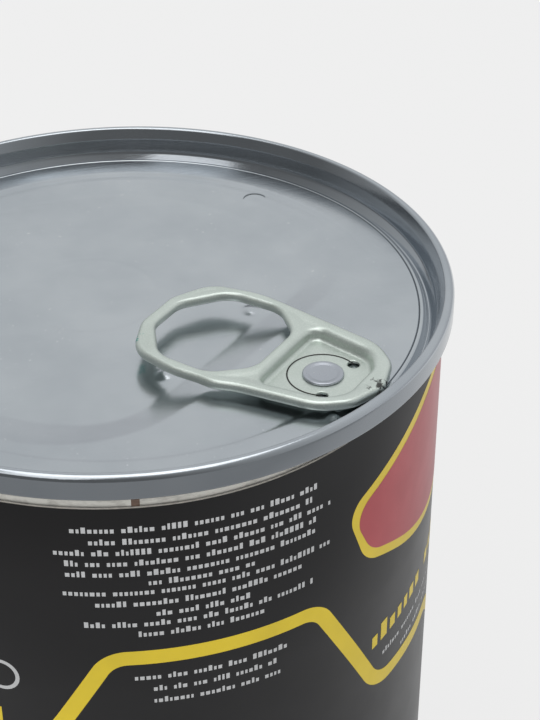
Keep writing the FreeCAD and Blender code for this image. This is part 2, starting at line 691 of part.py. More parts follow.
def make_pull_tab(doc, size, radii):
    """Stamped tab: rolled rim, finger opening, crossbar, well, slit and rivet hole.

    Its own frame has the rivet's axis as Z, the nose towards +X and its seat at zero height.
    """
    body = new_body(doc, "pull_tab")
    rim_top = size.rim_lift + size.rim_height
    outline, outline_rounds = tab_outline(size)
    blank = new_sketch(body, "TabOutline", "XY_Plane", size.rim_lift)
    draw_polygon(blank, mirrored(outline))
    extrude(body, blank, "TabBlank", size.rim_height)
    round_corners(body, "TabCorner", outline, outline_rounds)
    opening, opening_rounds = opening_outline(size)
    hole = new_sketch(body, "FingerOpeningOutline", "XY_Plane", rim_top)
    draw_polygon(hole, mirrored(opening))
    extrude(body, hole, "FingerOpening", size.rim_height, "Pocket")
    round_corners(body, "OpeningCorner", opening, opening_rounds)
    round_edges(body, "RolledRim", size.rim_round,
                lambda edge: flat_at(edge, rim_top) or flat_at(edge, size.rim_lift))
    add_well(body, size, rim_top)
    cut_slit(body, size)
    body.Placement = FreeCAD.Placement(
        FreeCAD.Vector(0, 0, 0), FreeCAD.Rotation(FreeCAD.Vector(0, 0, 1), size.tab_swing.value))
    body.setExpression("Placement.Base.x", radii.rivet_x.text)
    body.setExpression("Placement.Base.z", (size.can_height - size.ledge_depth).text)
    body.setExpression("Placement.Rotation.Angle", size.tab_swing.text)
    return body


def main():
    doc = FreeCAD.newDocument(DOCUMENT_NAME)
    size = Sheet(doc)
    radii = Radii(size)
    bodies = [
        make_can_body(doc, size),
        make_bottom_end(doc, size, radii),
        make_easy_open_end(doc, size, radii),
        make_pull_tab(doc, size, radii),
        make_paper_label(doc, size),
    ]
    doc.recompute()
    for item in doc.Objects:
        if "Invalid" in item.State or "Error" in item.State:
            raise RuntimeError("%s failed: %s" % (item.Name, item.State))
    os.makedirs(PARTS_FOLDER, exist_ok=True)
    for body in bodies:
        shape = body.Shape
        if shape.isNull() or not shape.isValid():
            raise RuntimeError(body.Label + " has no valid shape")
        shape.exportStep(os.path.join(PARTS_FOLDER, body.Label + ".step"))
        print(body.Label, "solids", len(shape.Solids), "volume %.2f" % shape.Volume, shape.BoundBox)


main()
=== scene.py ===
"""Dresses a closed food can: lacquered easy-open end, riveted pull tab and printed paper label.

Sizes are in millimetres in the can's own frame, which is the CAD model's frame, and are turned to
metres where the meshes are made.  +Z is up along the can and +X points to the rivet of the tab.
"""
import logging
import math
from dataclasses import dataclass, field
from enum import Enum
from typing import Dict, List, Sequence, Tuple, Union

import bpy
import numpy as np
from mathutils import Matrix, Vector


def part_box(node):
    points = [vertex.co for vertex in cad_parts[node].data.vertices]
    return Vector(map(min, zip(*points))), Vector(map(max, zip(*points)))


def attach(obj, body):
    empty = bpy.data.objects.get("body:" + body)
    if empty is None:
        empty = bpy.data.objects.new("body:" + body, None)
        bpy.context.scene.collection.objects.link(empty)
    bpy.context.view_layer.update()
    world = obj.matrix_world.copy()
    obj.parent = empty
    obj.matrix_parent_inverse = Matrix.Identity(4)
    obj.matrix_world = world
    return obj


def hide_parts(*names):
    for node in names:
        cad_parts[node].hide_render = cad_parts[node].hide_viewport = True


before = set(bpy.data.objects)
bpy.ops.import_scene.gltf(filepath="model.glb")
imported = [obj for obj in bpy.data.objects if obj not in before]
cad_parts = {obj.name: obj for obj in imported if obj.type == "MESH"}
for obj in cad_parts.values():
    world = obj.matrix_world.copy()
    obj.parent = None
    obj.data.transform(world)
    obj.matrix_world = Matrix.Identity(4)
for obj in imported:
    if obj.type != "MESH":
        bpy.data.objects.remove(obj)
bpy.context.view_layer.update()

LOG = logging.getLogger("food_can")
MM = 0.001
BODY = "root"
Point2 = Tuple[float, float]
Point3 = Tuple[float, float, float]
Point4 = Tuple[float, float, float, float]
Colour = Point4
Array = np.ndarray
Tree = bpy.types.NodeTree
Socket = bpy.types.NodeSocket
Material = bpy.types.Material
Piece = bpy.types.Object


def srgb(code: str) -> Colour:
    """Turn an sRGB hex value into a linear colour.

    Args:
        code: six hex digits, red first.

    Returns:
        Linear red, green, blue and an alpha of one.
    """
    parts = [int(code[i:i + 2], 16) / 255.0 for i in (0, 2, 4)]
    linear = [c / 12.92 if c <= 0.04045 else ((c + 0.055) / 1.055) ** 2.4 for c in parts]
    return (linear[0], linear[1], linear[2], 1.0)


def shaded(colour: Colour, share: float) -> Colour:
    """The same colour with only a share of its light."""
    return tuple(c * share for c in colour[:3]) + (1.0,)


def add_node(tree: Tree, kind: str, inputs: Union[Dict, Sequence] = (), **settings: str
             ) -> bpy.types.Node:
    """Add one node with its settings, values and links.

    Args:
        tree: the node tree that gets the node.
        kind: Blender's name of the node type.
        inputs: values, or output sockets to link, by socket or in the order of the sockets.
        **settings: attributes of the node.

    Returns:
        The new node.
    """
    node = tree.nodes.new(kind)
    for name, value in settings.items():
        setattr(node, name, value)
    for key, value in inputs.items() if isinstance(inputs, dict) else enumerate(inputs):
        if isinstance(value, Socket):
            tree.links.new(value, node.inputs[key])
        else:
            node.inputs[key].default_value = value
    return node


def smooth_step(value: Array) -> Array:
    """Ease a value from 0 to 1 with level ends."""
    held = np.clip(value, 0.0, 1.0)
    return held * held * (3.0 - 2.0 * held)


# ---- outlines and meshes


def round_outline(corners: Sequence[Point2], radii: Sequence[float], closed: bool,
                  steps: int = 10) -> Array:
    """Round the corners of a line of straight runs with tangent arcs.

    Args:
        corners: the corners of the line.
        radii: radius at each corner, 0 where it stays sharp.
        closed: True when the last corner joins the first.
        steps: pieces in each arc.

    Returns:
        Points along the rounded line, one row each.
    """
    points: List[Array] = []
    count = len(corners)
    for i, (corner, radius) in enumerate(zip(corners, radii)):
        here = np.array(corner, float)
        ends_line = not closed and i in (0, count - 1)
        if radius <= 0.0 or ends_line:
            points.append(here)
            continue
        before = np.array(corners[i - 1], float) - here
        after = np.array(corners[(i + 1) % count], float) - here
        before /= np.linalg.norm(before)
        after /= np.linalg.norm(after)
        half = 0.5 * math.acos(float(np.clip(np.dot(before, after), -1.0, 1.0)))
        if half > math.radians(89.5):
            # So flat a bend needs no arc.
            points.append(here)
            continue
        bisector = (before + after) / np.linalg.norm(before + after)
        centre = here + bisector * radius / math.sin(half)
        first = here + before * radius / math.tan(half) - centre
        last = here + after * radius / math.tan(half) - centre
        sweep = math.atan2(first[0] * last[1] - first[1] * last[0], float(np.dot(first, last)))
        for k in range(steps + 1):
            turn = sweep * k / steps
            cos_t, sin_t = math.cos(turn), math.sin(turn)
            points.append(centre + np.array([first[0] * cos_t - first[1] * sin_t,
                                             first[0] * sin_t + first[1] * cos_t]))
    return np.array(points)


def outline_distance(outline: Array, x: Array, y: Array) -> Array:
    """Signed distance to a closed outline, negative inside it.

    Args:
        outline: the outline's points, one row each.
        x: places along the first axis.
        y: places along the second axis, of the same shape.

    Returns:
        Distances in the shape of x.
    """
    flat_x, flat_y = x.ravel(), y.ravel()
    nearest = np.full(flat_x.shape, 1e9)
    inside = np.zeros(flat_x.shape, bool)
    for start, end in zip(outline, np.roll(outline, -1, axis=0)):
        run = end - start
        length2 = float(run @ run)
        if length2 < 1e-12:
            continue
        dx, dy = flat_x - start[0], flat_y - start[1]
        along = np.clip((dx * run[0] + dy * run[1]) / length2, 0.0, 1.0)
        nearest = np.minimum(nearest, (dx - along * run[0]) ** 2 + (dy - along * run[1]) ** 2)
        if abs(run[1]) > 1e-12:
            crosses = (start[1] > flat_y) != (end[1] > flat_y)
            inside ^= crosses & (flat_x < start[0] + run[0] * dy / run[1])
    distance = np.sqrt(nearest)
    return np.where(inside, -distance, distance).reshape(x.shape)


def subdivided(line: Array, closed: bool, longest: float = 0.8) -> Array:
    """Add points to a line, so that its runs are about longest at most.

    Args:
        line: the line's points, one row each.
        closed: True when the last point joins the first.
        longest: length of a run.

    Returns:
        The denser line's points.
    """
    points: List[Array] = []
    for start, end in zip(line if closed else line[:-1], np.roll(line, -1, axis=0)):
        count = max(int(np.linalg.norm(end - start) / longest), 1)
        points += [start + (end - start) * k / count for k in range(count)]
    return np.array(points if closed else points + [line[-1]])


def soft_max(first: Array, second: Array, blend: float) -> Array:
    """Greater of two fields, with the crease between them rounded over blend."""
    near = np.maximum(blend - np.abs(first - second), 0.0) / blend
    return np.maximum(first, second) + near * near * blend * 0.25


def soft_min(first: Array, second: Array, blend: float) -> Array:
    """Lesser of two fields, with the crease between them filled over blend."""
    return -soft_max(-first, -second, blend)


def net_surface(values: Array, low: Array, step: float) -> Tuple[Array, Array]:
    """Find the surface where a field on a lattice is zero.

    Args:
        values: the field, negative inside, positive at the lattice's border.
        low: lowest corner of the lattice.
        step: lattice spacing.

    Returns:
        Vertices and outward facing quads.
    """
    cells = tuple(n - 1 for n in values.shape)
    total = np.zeros(cells + (3,))
    count = np.zeros(cells)
    index = np.arange(int(np.prod(cells))).reshape(cells)
    quads: List[Array] = []
    for axis in range(3):
        order = (axis, (axis + 1) % 3, (axis + 2) % 3)
        field_view = values.transpose(order)
        total_view = total.transpose(order + (3,))
        count_view = count.transpose(order)
        index_view = index.transpose(order)
        lower, upper = field_view[:-1, 1:-1, 1:-1], field_view[1:, 1:-1, 1:-1]
        crossing = (lower < 0.0) != (upper < 0.0)
        share = np.where(crossing, lower / np.where(crossing, lower - upper, 1.0), 0.0)
        i, j, k = np.meshgrid(*(np.arange(n) for n in crossing.shape), indexing="ij")
        place = np.zeros(crossing.shape + (3,))
        place[..., order[0]] = i + share
        place[..., order[1]] = j + 1
        place[..., order[2]] = k + 1
        place *= crossing[..., None]
        depth, width = crossing.shape[1], crossing.shape[2]
        around = ((0, 0), (1, 0), (1, 1), (0, 1))
        for dj, dk in around:
            total_view[:, dj:dj + depth, dk:dk + width] += place
            count_view[:, dj:dj + depth, dk:dk + width] += crossing
        corners = np.stack([index_view[:, dj:dj + depth, dk:dk + width][crossing]
                            for dj, dk in around], axis=1)
        faces_up = (lower < 0.0)[crossing]
        quads.append(np.where(faces_up[:, None], corners, corners[:, ::-1]))
    used = count.ravel() > 0
    renumber = np.cumsum(used) - 1
    vertices = low + step * total.reshape(-1, 3)[used] / count.ravel()[used][:, None]
    return vertices, renumber[np.concatenate(quads)]


def new_piece(name: str, vertices: Array, faces: Sequence[Sequence[int]], material: Material) -> Piece:
    """Make a smooth shaded piece that rides on the can.

    Args:
        name: the piece's name.
        vertices: corners in millimetres.
        faces: corner numbers of each face.
        material: the piece's finish.

    Returns:
        The new object.
    """
    mesh = bpy.data.meshes.new(name)
    mesh.from_pydata((np.asarray(vertices) * MM).tolist(), [], [list(map(int, f)) for f in faces])
    mesh.polygons.foreach_set("use_smooth", [True] * len(mesh.polygons))
    mesh.materials.append(material)
    mesh.update()
    piece = bpy.data.objects.new(name, mesh)
    bpy.context.scene.collection.objects.link(piece)
    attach(piece, BODY)
    LOG.info("%s: %d faces", name, len(mesh.polygons))
    return piece


def grid_faces(rows: int, columns: int, closed: bool, first: int = 0) -> List[List[int]]:
    """Quads of a grid of rows by columns.

    Args:
        rows: number of rows of corners.
        columns: corners in each row.
        closed: True when the last column joins the first.
        first: number of the grid's first corner.

    Returns:
        Corner numbers of each quad.
    """
    last = columns if closed else columns - 1
    faces = []
    for i in range(rows - 1):
        low, high = first + i * columns, first + (i + 1) * columns
        faces += [[low + j, low + (j + 1) % columns, high + (j + 1) % columns, high + j]
                  for j in range(last)]
    return faces


def turned_over(faces: Sequence[Sequence[int]]) -> List[List[int]]:
    """The same faces seen from their other side."""
    return [list(face)[::-1] for face in faces]


def turned_sheet(corners: Sequence[Point3], level: float, inner_radius: float, steps: int,
                 segments: int) -> Tuple[Array, List[List[int]]]:
    """Turn a profile about Z.

    Args:
        corners: radius, height and rounding of each bend, from the inside outward.
        level: height that the bends' heights are measured from.
        inner_radius: radius that no part of the profile goes below.
        steps: pieces in each bend's arc.
        segments: corners in each ring.

    Returns:
        Corners, ring after ring, and faces.
    """
    profile = round_outline([(radius, level + height) for radius, height, _ in corners],
                            [rounding for _, _, rounding in corners], closed=False, steps=steps)
    angles = np.arange(segments) * 2.0 * math.pi / segments
    ring = np.stack([np.cos(angles), np.sin(angles)], axis=1)
    rows = [np.column_stack([ring * max(radius, inner_radius), np.full(segments, height)])
            for radius, height in profile]
    return np.concatenate(rows), turned_over(grid_faces(len(profile), segments, True))


# ---- finishes


def noise(tree: Tree, place: Socket, size_mm: float, detail: float = 2.0,
          stretch: Point3 = (1.0, 1.0, 1.0), turn: float = 0.0) -> Socket:
    """Noise with cells of a real size.

    Args:
        tree: the material's tree.
        place: object coordinates in metres.
        size_mm: length of one cell.
        detail: how many finer layers are added.
        stretch: how many times longer a cell is along each axis.
        turn: angle about Z that the stretched cells are turned by, radians.

    Returns:
        The noise value's socket.
    """
    scale = tuple(1.0 / (size_mm * s * MM) for s in stretch)
    # Points are turned first and then stretched, so the cells lie along the turned axes.
    turned = add_node(tree, "ShaderNodeVectorRotate", {"Vector": place, "Angle": turn},
                      rotation_type="Z_AXIS").outputs["Vector"]
    mapped = add_node(tree, "ShaderNodeMapping", {"Vector": turned, "Scale": scale})
    return add_node(tree, "ShaderNodeTexNoise",
                    {"Vector": mapped.outputs["Vector"], "Scale": 1.0, "Detail": detail,
                     "Roughness": 0.6}).outputs["Fac"]


def blend_where(tree: Tree, pattern: Socket, span: Point2, under: Union[Colour, Socket],
                over: Union[Colour, Socket], shares: Point2 = (0.0, 1.0)) -> Socket:
    """Lay one colour over another where a pattern's value rises.

    Args:
        tree: the tree.
        pattern: the value that decides.
        span: the pattern's values between which the share changes.
        under: the colour beneath, linear or a socket.
        over: the colour laid on it, linear or a socket.
        shares: share of the second colour at either end of the span.

    Returns:
        The blended colour's socket.
    """
    share = add_node(tree, "ShaderNodeMapRange", (pattern, *span, *shares)).outputs["Result"]
    return add_node(tree, "ShaderNodeMix", {0: share, 6: under, 7: over},
                    data_type="RGBA").outputs[2]


def blemish(tree: Tree, place: Socket, centre: Point3, radius: float, ragged: float,
            under: Socket, over: Colour) -> Socket:
    """Put a ragged spot of a second colour on the first.

    Args:
        tree: the material's tree.
        place: object coordinates in metres.
        centre: the spot's middle in millimetres.
        radius: its radius in millimetres.
        ragged: how far its edge wanders, as a share of the radius.
        under: the colour around it.
        over: the spot's colour.

    Returns:
        The colour's socket.
    """
    size = radius * MM
    away = add_node(tree, "ShaderNodeVectorMath", (place, tuple(c * MM for c in centre)),
                    operation="DISTANCE")
    wander = add_node(tree, "ShaderNodeMapRange", (noise(tree, place, radius * 0.6, 3.0), 0.3, 0.7,
                                                   -ragged * size, ragged * size))
    edge = add_node(tree, "ShaderNodeMath", (away.outputs["Value"], wander.outputs["Result"]),
                    operation="ADD").outputs["Value"]
    return blend_where(tree, edge, (size, size * 0.75), under, over)


@dataclass(frozen=True)
class Finish:
    """What every finish has: a name, a colour and a material built from its shader's sockets."""

    name: str
    colour: str
    roughness: float

    def surface(self, tree: Tree, place: Socket) -> Dict:
        """Values and links of the surface shader's sockets, by name.

        Args:
            tree: the material's tree.
            place: object coordinates in metres.

        Returns:
            Socket names with their values or links.
        """
        raise NotImplementedError

    def spread(self, tree: Tree, pattern: Socket, less: float, more: float) -> Socket:
        """Roughness that a pattern takes from less below its typical value to more above it."""
        return add_node(tree, "ShaderNodeMapRange", (pattern, 0.3, 0.7, self.roughness - less,
                                                     self.roughness + more)).outputs["Result"]

    def build(self) -> Material:
        """Make the material.

        Returns:
            The material.
        """
        material = bpy.data.materials.new(self.name)
        material.use_nodes = True
        tree = material.node_tree
        tree.nodes.clear()
        place = add_node(tree, "ShaderNodeTexCoord").outputs["Object"]
        shader = add_node(tree, "ShaderNodeBsdfPrincipled", self.surface(tree, place))
        add_node(tree, "ShaderNodeOutputMaterial", {"Surface": shader.outputs["BSDF"]})
        return material


@dataclass(frozen=True)
class LacqueredTinplate(Finish):
    """Cold-rolled tinplate, stamped and clear lacquered: satin metal with fine rolling grain."""

    roughness: float = 0.3
    # Rolling lines of tinplate are about 0.05 mm apart; drawn coarser so that they show.
    grain_mm: float = 0.22
    grain_length: float = 40.0
    grain_turn: float = -0.85
    tint: str = "9AA2A9"
    dusty: bool = True
    # radius of a fine dark line of painted shade along a groove pressed into the sheet, none where it
    # is zero
    shade_line_radius: float = 0.0
    shade_line_width: float = 0.06

    def surface(self, tree: Tree, place: Socket) -> Dict:
        """Give the shader's sockets.

        Args:
            tree: the material's tree.
            place: object coordinates in metres.

        Returns:
            Socket names with their values or links.
        """
        grain = noise(tree, place, self.grain_mm, 2.0, (self.grain_length, 1.0, 1.0),
                      self.grain_turn)
        # Broad cloudiness of the tin layer, about a fingertip across.
        colour = blend_where(tree, noise(tree, place, 16.0, 3.0), (0.35, 0.7), srgb(self.colour),
                             srgb(self.tint), (0.0, 0.35))
        if self.dusty:
            # Specks of dust a few tenths of a millimetre across lie thinly on the lacquer.
            colour = blend_where(tree, noise(tree, place, 0.32, 0.0), (0.8, 0.84), colour,
                                 srgb("D4D7D9"), (0.0, 0.7))
        # A thin ring darkened along a pressed groove: painted shade.
        if self.shade_line_radius > 0.0:
            flat = add_node(tree, "ShaderNodeVectorMath", (place, (1.0, 1.0, 0.0)),
                            operation="MULTIPLY").outputs["Vector"]
            away = add_node(tree, "ShaderNodeVectorMath", (flat,), operation="LENGTH")
            near = add_node(tree, "ShaderNodeMath", (away.outputs["Value"], self.shade_line_radius * MM,
                                                     self.shade_line_width * MM), operation="COMPARE")
            colour = blend_where(tree, near.outputs["Value"], (0.0, 1.0), colour, srgb("5A6066"))
        bump = add_node(tree, "ShaderNodeBump", {"Height": grain, "Strength": 0.2,
                                                 "Distance": 0.02 * MM})
        return {"Base Color": colour, "Metallic": 1.0, "Normal": bump.outputs["Normal"],
                "Roughness": self.spread(tree, grain, 0.03, 0.05)}


@dataclass(frozen=True)
class TabLacquer(Finish):
    """Steel strip with a thin tinted lacquer, stamped: soft metal sheen with a fine sparkle."""

    roughness: float = 0.36

    def surface(self, tree: Tree, place: Socket) -> Dict:
        """Give the shader's sockets.

        Args:
            tree: the material's tree.
            place: object coordinates in metres.

        Returns:
            Socket names with their values or links.
        """
        # The strip's grain shows as a sparkle about 0.15 mm across.
        sparkle = noise(tree, place, 0.16, 1.0)
        colour = blend_where(tree, noise(tree, place, 5.0), (0.35, 0.7), srgb(self.colour),
                             srgb("BDC7BF"), (0.0, 0.5))
        colour = blend_where(tree, sparkle, (0.45, 0.75), colour, srgb("E8EDE9"), (0.0, 0.45))
        # Bare dark metal where the nose was torn, and a chip of the lacquer on the ring.
        colour = blemish(tree, place, (34.8, 0.4, 107.0), 1.5, 0.6, colour, srgb("4A4B49"))
        colour = blemish(tree, place, (7.7, -7.3, 107.4), 1.0, 0.8, colour, srgb("4FA79A"))
        bump = add_node(tree, "ShaderNodeBump", {"Height": sparkle, "Strength": 0.15,
                                                 "Distance": 0.03 * MM})
        return {"Base Color": colour, "Metallic": 0.85, "Normal": bump.outputs["Normal"],
                "Roughness": self.spread(tree, sparkle, 0.05, 0.07)}


@dataclass(frozen=True)
class BareTinplate(Finish):
    """Unlacquered tinplate of the welded wall: warm pale metal with stains of handling."""

    roughness: float = 0.45

    def surface(self, tree: Tree, place: Socket) -> Dict:
        """Give the shader's sockets.

        Args:
            tree: the material's tree.
            place: object coordinates in metres.

        Returns:
            Socket names with their values or links.
        """
        stain = noise(tree, place, 2.2, 4.0, (1.0, 1.0, 0.5))
        colour = blend_where(tree, stain, (0.5, 0.72), srgb(self.colour), srgb("B5B2AA"),
                             (0.0, 0.8))
        return {"Base Color": colour, "Metallic": 0.55, "Roughness": self.roughness}


@dataclass(frozen=True)
class PrintedPaper(Finish):
    """Coated paper printed in one solid ink: even colour with a thin gloss over a fine tooth."""

    roughness: float = 0.42

    def surface(self, tree: Tree, place: Socket) -> Dict:
        """Give the shader's sockets.

        Args:
            tree: the material's tree.
            place: object coordinates in metres.

        Returns:
            Socket names with their values or links.
        """
        cloud = noise(tree, place, 9.0, 3.0)
        ink = srgb(self.colour)
        colour = blend_where(tree, cloud, (0.3, 0.7), ink, shaded(ink, 0.86))
        # The paper's tooth, about a quarter of a millimetre across.
        bump = add_node(tree, "ShaderNodeBump", {"Height": noise(tree, place, 0.25),
                                                 "Strength": 0.1, "Distance": 0.02 * MM})
        return {"Base Color": colour, "Normal": bump.outputs["Normal"], "IOR": 1.5,
                "Coat Weight": 0.45, "Coat Roughness": 0.3,
                "Roughness": self.spread(tree, cloud, 0.04, 0.04)}


@dataclass(frozen=True)
class PlainMatt(Finish):
    """A dull surface such as a burnt weld line or the shade inside a slit."""

    roughness: float = 0.8

    def surface(self, tree: Tree, place: Socket) -> Dict:
        """Give the shader's sockets.

        Args:
            tree: the material's tree.
            place: object coordinates in metres.

        Returns:
            Socket names with their values or links.
        """
        plain = srgb(self.colour)
        colour = blend_where(tree, noise(tree, place, 0.5), (0.3, 0.7), plain, shaded(plain, 0.7))
        return {"Base Color": colour, "Roughness": self.roughness}


# ---- the can's top end


@dataclass
class SeamedRim:
    """Double seam, chuck wall and countersink of the top end, turned from one profile."""

    top: float
    join_radius: float = 34.62
    segments: int = 480
    arc_steps: int = 8
    # radius, height from the seam's crest, rounding
    corners: Tuple[Point3, ...] = (
        (34.62, -3.4, 0.0), (34.88, -3.4, 0.4), (35.25, -4.2, 0.3), (35.5, -4.2, 0.3),
        (36.3, -3.15, 1.1), (36.52, -1.35, 1.5), (37.02, 0.0, 0.35), (38.1, 0.0, 0.75),
        (38.1, -2.85, 0.35), (36.8, -2.85, 0.0))

    def build(self, finish: Material) -> Piece:
        """Make the rim in its finish."""
        vertices, faces = turned_sheet(self.corners, self.top, self.join_radius, self.arc_steps,
                                       self.segments)
        return new_piece("seamed_rim", vertices, faces, finish)


@dataclass
class OpeningPanel:
    """The panel that tears out: ledge, step, finger recess, faint disc, pips and dimple."""

    top: float
    join_radius: float = 34.62
    segments: int = 560
    # first and last radius of the evenly spaced rings, and their spacing
    rings: Point3 = (0.3, 33.95, 0.26)
    ledge_depth: float = 3.4
    # radius, width and depth
    score: Point3 = (34.3, 0.22, 0.14)
    # outer and inner radius, depth
    step: Point3 = (31.1, 30.3, 0.12)
    # depth at the straight side and at the far end, where the recess runs out
    recess_drop: Point2 = (0.95, 0.3)
    recess_round: float = 0.35
    # middle along X, radius, place of the straight side, corner radius
    brim: Point4 = (0.0, 29.0, 19.02, 16.5)
    floor: Point4 = (-2.6, 24.6, 14.82, 9.5)
    # middle along X, radius, depth, width of the edge
    disc: Point4 = (-4.3, 7.8, 0.07, 0.6)
    # x, y, radius, height of each pip; a negative height is a dimple
    pips: Tuple[Point4, ...] = (
        (12.67, 7.95, 1.45, 0.32), (12.67, -7.95, 1.45, 0.32),
        (32.42, 5.1, 1.1, 0.3), (32.42, -5.1, 1.1, 0.3), (-1.19, 28.4, 1.45, -0.12))
    # radius, width and half angle of the dark arc painted as shade on the far side of the lone dimple
    mark: Point3 = (1.5, 0.24, 72.0)
    shade_arc_azimuth: float = 128.0
    shade_arc_lift: float = 0.03

    @staticmethod
    def cut_circle(x: Array, y: Array, shape: Point4) -> Array:
        """Distance to a circle cut off by a straight side, with rounded corners.

        Args:
            x: places along X.
            y: places along Y.
            shape: circle's middle and radius, place of the straight side, corner radius.

        Returns:
            Distances, negative inside.
        """
        centre, radius, side, corner = shape
        bend_x = side - corner
        bend_y = math.sqrt((radius - corner) ** 2 - (bend_x - centre) ** 2)
        dx, dy = x - bend_x, np.abs(y) - bend_y
        in_corner = (dy > 0.0) & (dx * bend_y > dy * (bend_x - centre))
        beside = np.maximum(np.hypot(x - centre, y) - radius, x - side)
        return np.where(in_corner, np.hypot(dx, dy) - corner, beside)

    def height(self, x: Array, y: Array) -> Array:
        """Work out the panel's surface.

        Args:
            x: places along X.
            y: places along Y.

        Returns:
            Heights from the seam's crest, below zero.
        """
        radius = np.hypot(x, y)
        outer, inner, drop = self.step
        level = -self.ledge_depth - drop * smooth_step((outer - radius) / (outer - inner))
        inside = -self.cut_circle(x, y, self.brim)
        slope = np.maximum(inside + self.cut_circle(x, y, self.floor), 1.0)
        edge = self.recess_round / slope
        share = soft_min(soft_max(inside / slope, np.zeros(x.shape), edge), np.ones(x.shape), edge)
        deep, shallow = self.recess_drop
        middle, reach = self.brim[:2]
        run = (x - middle + reach) / (self.floor[2] + reach)
        level = level - (shallow + (deep - shallow) * smooth_step(run)) * share
        disc_x, disc_radius, disc_drop, side = self.disc
        from_disc = np.hypot(x - disc_x, y)
        level = level - disc_drop * smooth_step((disc_radius + 0.5 * side - from_disc) / side)
        for across, along, size, rise in self.pips:
            near = np.clip(np.hypot(x - across, y - along) / size, 0.0, 1.0)
            level = level + rise * (1.0 - near ** 2) ** 2
        groove, width, depth = self.score
        level = level - depth * np.clip(1.0 - np.abs(radius - groove) / (width * 0.5), 0.0, 1.0)
        return level

    def build(self, finish: Material) -> None:
        """Make the panel.

        Args:
            finish: its material.
        """
        groove, width, _ = self.score
        # Closer rings follow the groove of the score, spaced in widths of the groove.
        near_score = [groove + width * s for s in (-1.2, -0.8, -0.5, -0.25, 0.0, 0.25, 0.5, 0.8)]
        radii = sorted(list(np.arange(*self.rings)) + near_score + [self.join_radius])
        angles = np.arange(self.segments) * 2.0 * math.pi / self.segments
        ring, turn = np.meshgrid(radii, angles, indexing="ij")
        x, y = ring * np.cos(turn), ring * np.sin(turn)
        z = self.top + self.height(x, y)
        middle = np.array([[0.0, 0.0, self.top + float(self.height(np.zeros(1), np.zeros(1))[0])]])
        vertices = np.concatenate([np.stack([x, y, z], axis=-1).reshape(-1, 3), middle])
        faces = turned_over(grid_faces(len(radii), self.segments, True))
        hub = len(vertices) - 1
        faces += [[hub, j, (j + 1) % self.segments] for j in range(self.segments)]
        new_piece("opening_panel", vertices, faces, finish)

    def build_shade_arc(self, finish: Material) -> None:
        """Make the dark arc painted as shade on the far side of the lone dimple.

        Args:
            finish: its material.
        """
        radius, width, half_angle = self.mark
        middle_x, middle_y = self.pips[-1][:2]
        turns = np.linspace(-1.0, 1.0, 40)
        angles = np.radians(self.shade_arc_azimuth + half_angle * turns)
        taper = 0.5 * width * (1.0 - turns ** 4)
        rows = []
        for side in (-1.0, 1.0):
            reach = radius + side * taper
            x, y = middle_x + reach * np.cos(angles), middle_y + reach * np.sin(angles)
            rows.append(np.stack([x, y, self.top + self.height(x, y) + self.shade_arc_lift], axis=1))
        faces = turned_over(grid_faces(2, len(turns), False))
        new_piece("dimple_shade_arc", np.concatenate(rows), faces, finish)


@dataclass
class Rivet:
    """The hollow rivet drawn from the panel, its head pressed flat on the tab's web."""

    seat: float
    place_x: float = 27.87
    segments: int = 96
    arc_steps: int = 6
    hub_radius: float = 0.02
    # radius, height from the seat, rounding
    corners: Tuple[Point3, ...] = (
        (0.0, 0.6, 0.0), (1.5, 0.6, 0.4), (1.86, 0.7, 0.25), (2.27, 0.7, 0.2),
        (2.27, 0.42, 0.1), (1.7, 0.4, 0.0), (1.7, -0.12, 0.0))

    def build(self, finish: Material) -> None:
        """Make the rivet.

        Args:
            finish: its material.
        """
        vertices, faces = turned_sheet(self.corners, self.seat, self.hub_radius, self.arc_steps,
                                       self.segments)
        vertices += np.array([self.place_x, 0.0, 0.0])
        faces.append(list(range(self.segments)))
        new_piece("rivet", vertices, faces, finish)


# ---- the pull tab


